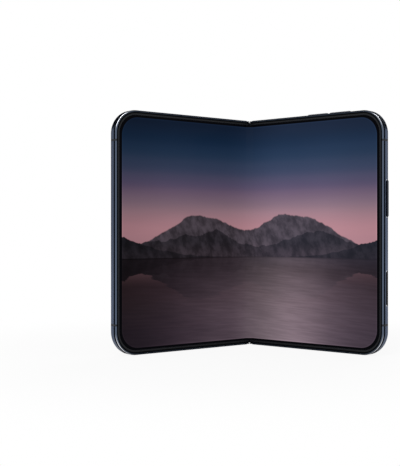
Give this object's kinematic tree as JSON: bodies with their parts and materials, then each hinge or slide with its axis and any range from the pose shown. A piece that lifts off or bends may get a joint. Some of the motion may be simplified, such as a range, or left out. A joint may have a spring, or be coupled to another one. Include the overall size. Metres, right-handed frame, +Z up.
{
  "type": "foldable phone",
  "caption": "Book-style foldable phone standing half open on a geared hinge, with a folding inner screen, a raised camera plateau and pressable edge buttons.",
  "frame": {"origin": "middle of the phone's footprint as it stands half open, on the surface that it stands on", "axes": "+Z up along the fold line, +X from the cover leaf towards the main leaf, +Y from the open side of the fold towards the spine"},
  "size_m": [0.1356, 0.0558, 0.1213],
  "materials": {
    "frame_metal": "satin anodised, dark slate blue",
    "camera_metal": "fine satin, darker slate blue",
    "hinge_steel": "fine brushed",
    "shield_steel": "plated, satin",
    "trim_black": "satin black",
    "antenna_plastic": "satin, a shade darker than the metal",
    "flexible_screen": "glossy clear film over the lit panel",
    "back_glass": "opaque, dark slate blue, semi gloss",
    "cover_glass": "opaque black edge, glossy",
    "cover_panel": "unlit panel",
    "lens_glass": "clear, coated",
    "button_glass": "dark polished crystal",
    "camera_black": "matte black",
    "flash_lens": "milky lens",
    "battery_wrap": "matte wrap",
    "circuit_board": "solder mask",
    "copper_coil": "bare wire"
  },
  "bodies": {
    "spine": {"spine_cover": "frame_metal", "hinge_brackets": "hinge_steel", "main_hinge_pins": "hinge_steel", "cover_hinge_pins": "hinge_steel", "idler_pins": "hinge_steel", "friction_washers": "hinge_steel", "fold_end_seals": "trim_black", "inner_screen_fold": "flexible_screen"},
    "main_idlers": {"main_idler_gears": "hinge_steel"},
    "cover_idlers": {"cover_idler_gears": "hinge_steel"},
    "main_leaf": {"main_frame": "frame_metal", "main_antenna_breaks": "antenna_plastic", "main_trim": "trim_black", "inner_screen_main": "flexible_screen", "main_hinge_arms": "hinge_steel", "main_arm_screws": "hinge_steel", "back_glass": "back_glass", "camera_plateau": "camera_metal", "wide_lens_ring": "camera_metal", "wide_lens_glass": "lens_glass", "wide_camera": "camera_black", "ultrawide_lens_ring": "camera_metal", "ultrawide_lens_glass": "lens_glass", "ultrawide_camera": "camera_black", "flash_window": "flash_lens", "rear_microphone": "camera_black", "main_battery": "battery_wrap", "logic_board": "circuit_board", "board_shields": "shield_steel", "charging_port": "shield_steel", "port_screws": "hinge_steel", "main_speaker": "camera_black", "haptic_motor": "shield_steel", "charging_coil": "copper_coil", "button_switches": "copper_coil", "main_magnets": "shield_steel"},
    "main_wing_pair": {"main_wings": "hinge_steel"},
    "side_key": {"side_button": "frame_metal"},
    "camera_key": {"camera_control": "button_glass"},
    "volume_up_key": {"volume_up_button": "frame_metal"},
    "volume_down_key": {"volume_down_button": "frame_metal"},
    "cover_leaf": {"cover_frame": "frame_metal", "cover_antenna_breaks": "antenna_plastic", "cover_trim": "trim_black", "inner_screen_cover": "flexible_screen", "cover_hinge_arms": "hinge_steel", "cover_arm_screws": "hinge_steel", "cover_glass": "cover_glass", "cover_screen": "cover_panel", "selfie_camera": "camera_black", "cover_battery": "battery_wrap", "cover_board": "circuit_board", "cover_speaker": "camera_black", "cover_magnets": "shield_steel"},
    "cover_wing_pair": {"cover_wings": "hinge_steel"}
  },
  "joints": [
    {"name": "main_fold", "type": "hinge", "parent": "spine", "child": "main_leaf", "pos_m": [0.0021, 0.02422, 0.0603], "axis": [0, 0, -1], "range_deg": [-38.35, 51.65], "deforming": ["inner_screen_fold", "fold_end_seals"]},
    {"name": "cover_fold", "type": "hinge", "parent": "spine", "child": "cover_leaf", "pos_m": [-0.0021, 0.02422, 0.0603], "axis": [0, 0, 1], "range_deg": [-38.35, 51.65]},
    {"name": "main_idler_spin", "type": "hinge", "parent": "spine", "child": "main_idlers", "pos_m": [0.0006, 0.02422, 0.0603], "axis": [0, 0, 1], "range_deg": [-57.53, 77.47]},
    {"name": "cover_idler_spin", "type": "hinge", "parent": "spine", "child": "cover_idlers", "pos_m": [-0.0006, 0.02422, 0.0603], "axis": [0, 0, -1], "range_deg": [-57.53, 77.47]},
    {"name": "main_wing_tilt", "type": "hinge", "parent": "main_leaf", "child": "main_wing_pair", "pos_m": [0.00393, 0.02162, 0.0603], "axis": [0, 0, -1], "range_deg": [-8.7, 11.6]},
    {"name": "cover_wing_tilt", "type": "hinge", "parent": "cover_leaf", "child": "cover_wing_pair", "pos_m": [-0.00393, 0.02162, 0.0603], "axis": [0, 0, 1], "range_deg": [-8.7, 11.6]},
    {"name": "side_button_press", "type": "slide", "parent": "main_leaf", "child": "side_key", "axis": [-0.7842, 0.6205, 0], "range_m": [0, 0.00025], "stiffness_N_per_m": 800},
    {"name": "camera_control_press", "type": "slide", "parent": "main_leaf", "child": "camera_key", "axis": [-0.7842, 0.6205, 0], "range_m": [0, 0.00015], "stiffness_N_per_m": 800},
    {"name": "volume_up_press", "type": "slide", "parent": "main_leaf", "child": "volume_up_key", "axis": [0, 0, -1], "range_m": [0, 0.00025], "stiffness_N_per_m": 800},
    {"name": "volume_down_press", "type": "slide", "parent": "main_leaf", "child": "volume_down_key", "axis": [0, 0, -1], "range_m": [0, 0.00025], "stiffness_N_per_m": 800}
  ],
  "couplings": [
    {"joint": "cover_fold", "follows": "main_fold", "ratio": 1},
    {"joint": "main_idler_spin", "follows": "main_fold", "ratio": 1.5},
    {"joint": "cover_idler_spin", "follows": "main_fold", "ratio": 1.5},
    {"joint": "main_wing_tilt", "follows": "main_fold", "ratio": 0.22222},
    {"joint": "cover_wing_tilt", "follows": "main_fold", "ratio": 0.22222}
  ]
}
